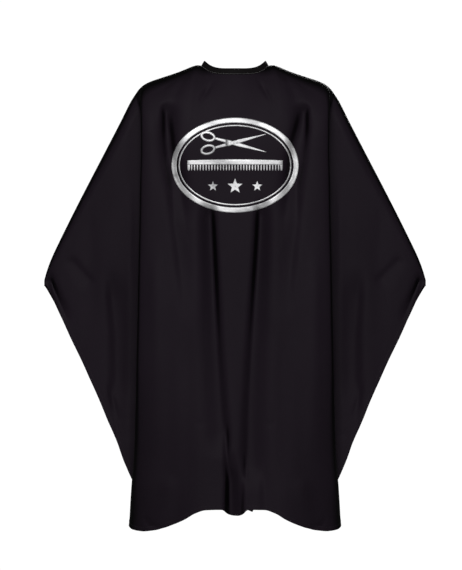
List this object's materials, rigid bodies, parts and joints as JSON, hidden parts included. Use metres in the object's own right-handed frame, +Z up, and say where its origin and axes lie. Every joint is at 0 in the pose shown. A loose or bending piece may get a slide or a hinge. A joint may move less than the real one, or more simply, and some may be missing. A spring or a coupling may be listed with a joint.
{
  "type": "barber cape",
  "caption": "Worn barber cape: draped cloth with neck opening, arm wings, split back, folded snap-closed neck band, hanging loop and chest transfer print.",
  "frame": {"origin": "centre of the neck opening, level with the highest points of the neck band", "axes": "+Z up, -Y the cape's front, +X the wearer's left"},
  "size_m": [0.904, 0.2739, 1.122],
  "materials": {
    "cape_cloth": "matt woven polyester, near-black with a faint purple cast",
    "band_cloth": "tightly woven black bias tape",
    "interlining": "stiff white nonwoven",
    "snap_metal": "nickel plated brass",
    "spring_wire": "bright drawn wire",
    "label_tape": "black satin tape, blank",
    "print_film": "silver transfer film, satin"
  },
  "bodies": {
    "cape": {"front_panel": "cape_cloth", "neck_band": "band_cloth", "band_interlining": "interlining", "chest_print": "print_film", "stud_1": "snap_metal", "stud_2": "snap_metal", "stud_3": "snap_metal", "stud_4": "snap_metal", "stud_5": "snap_metal", "stud_post_1": "snap_metal", "stud_post_2": "snap_metal", "stud_post_3": "snap_metal", "stud_post_4": "snap_metal", "stud_post_5": "snap_metal"},
    "left_wing": {"left_wing_panel": "cape_cloth"},
    "right_wing": {"right_wing_panel": "cape_cloth"},
    "left_back": {"left_back_panel": "cape_cloth"},
    "right_back": {"right_back_panel": "cape_cloth"},
    "tab": {"closure_tab": "band_cloth", "tab_interlining": "interlining", "snap_cap": "snap_metal", "snap_socket": "snap_metal", "socket_spring": "spring_wire"},
    "loop": {"hanging_loop": "band_cloth"},
    "label": {"care_label": "label_tape"}
  },
  "joints": [
    {"name": "left_wing_swing", "type": "hinge", "parent": "cape", "child": "left_wing", "pos_m": [0.238, -0.03, -0.5], "axis": [0, 0, -1], "range_deg": [-8, 55]},
    {"name": "right_wing_swing", "type": "hinge", "parent": "cape", "child": "right_wing", "pos_m": [-0.238, -0.03, -0.5], "axis": [0, 0, 1], "range_deg": [-8, 55]},
    {"name": "left_back_open", "type": "hinge", "parent": "cape", "child": "left_back", "pos_m": [0.222, 0.038, -0.4], "axis": [0, 0, -1], "range_deg": [0, 45]},
    {"name": "right_back_open", "type": "hinge", "parent": "cape", "child": "right_back", "pos_m": [-0.222, 0.038, -0.4], "axis": [0, 0, 1], "range_deg": [0, 45]},
    {"name": "tab_peel", "type": "hinge", "parent": "cape", "child": "tab", "pos_m": [-0.02131, 0.07099, -0.03089], "axis": [-0.0454, -0.4979, 0.866], "range_deg": [0, 120]},
    {"name": "loop_flip", "type": "hinge", "parent": "cape", "child": "loop", "pos_m": [0.03624, 0.07137, -0.03757], "axis": [0.9334, -0.3508, 0.0751], "range_deg": [0, 150]},
    {"name": "label_flip", "type": "hinge", "parent": "cape", "child": "label", "pos_m": [0.0421, -0.142, -1.0443], "axis": [0.9135, 0, -0.4067], "range_deg": [0, 70]}
  ]
}
